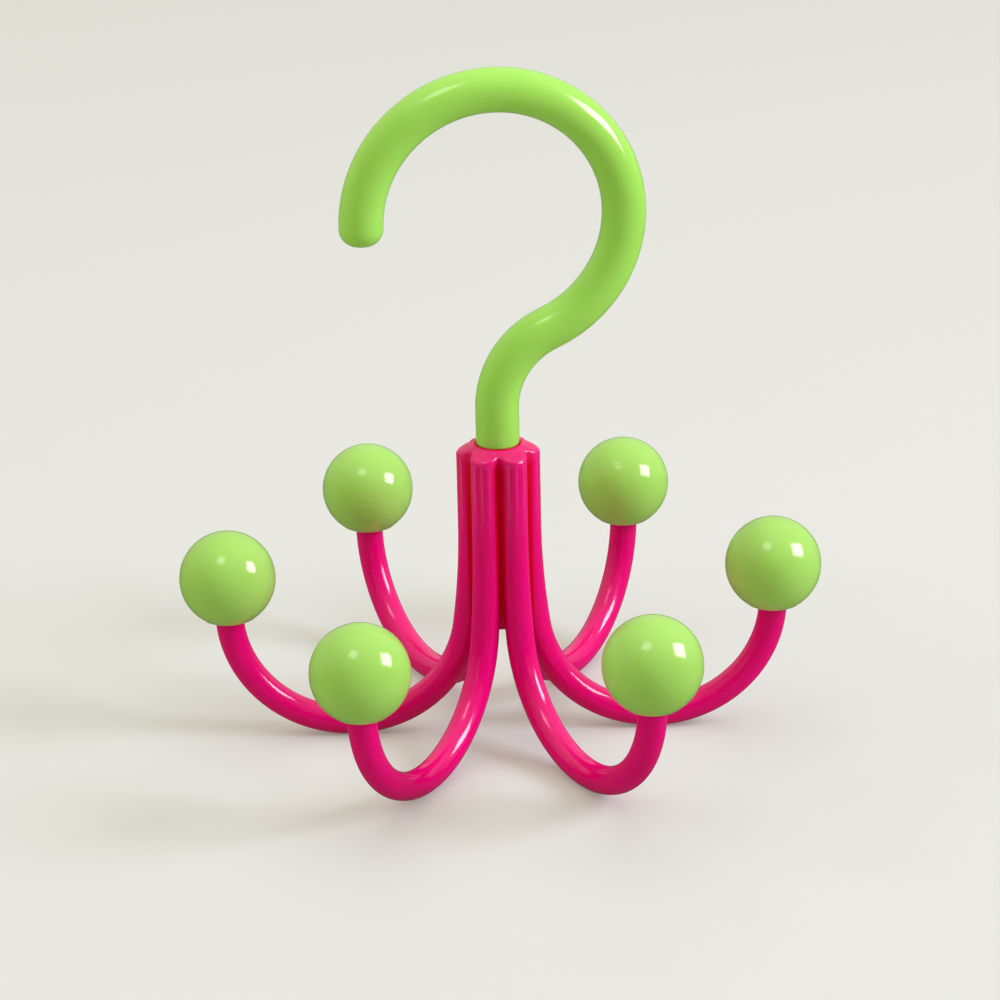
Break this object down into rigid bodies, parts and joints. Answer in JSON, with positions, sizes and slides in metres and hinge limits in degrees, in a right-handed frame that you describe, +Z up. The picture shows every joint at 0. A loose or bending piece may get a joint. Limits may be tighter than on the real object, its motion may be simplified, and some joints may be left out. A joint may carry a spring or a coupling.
{
  "type": "rotating closet hook",
  "caption": "Upturned ball-ended arms gathered round a hub, hung from a round-rod hook that swivels freely about the hub's axis.",
  "frame": {"origin": "on the swivel axis, at the height of the surface that the arms stand on", "axes": "+Z up along the swivel axis, +X along the first arm, -Y towards the viewer of the front"},
  "size_m": [0.1472, 0.1304, 0.1575],
  "materials": {
    "lime_plastic": "moulded lime green plastic, glossy",
    "magenta_plastic": "moulded magenta plastic, glossy",
    "screw_steel": "zinc-plated steel"
  },
  "bodies": {
    "claw": {"hub_core": "magenta_plastic", "arm_1": "magenta_plastic", "arm_2": "magenta_plastic", "arm_3": "magenta_plastic", "arm_4": "magenta_plastic", "arm_5": "magenta_plastic", "arm_6": "magenta_plastic", "knob_cup_1": "lime_plastic", "knob_cup_2": "lime_plastic", "knob_cup_3": "lime_plastic", "knob_cup_4": "lime_plastic", "knob_cup_5": "lime_plastic", "knob_cup_6": "lime_plastic", "knob_cap_1": "lime_plastic", "knob_cap_2": "lime_plastic", "knob_cap_3": "lime_plastic", "knob_cap_4": "lime_plastic", "knob_cap_5": "lime_plastic", "knob_cap_6": "lime_plastic"},
    "hook": {"swivel_hook": "lime_plastic", "retaining_washer": "screw_steel", "retaining_screw": "screw_steel"}
  },
  "joints": [
    {"name": "hook_swivel", "type": "hinge", "parent": "claw", "child": "hook", "pos_m": [0, 0, 0.06449], "axis": [0, 0, 1], "continuous": true}
  ]
}
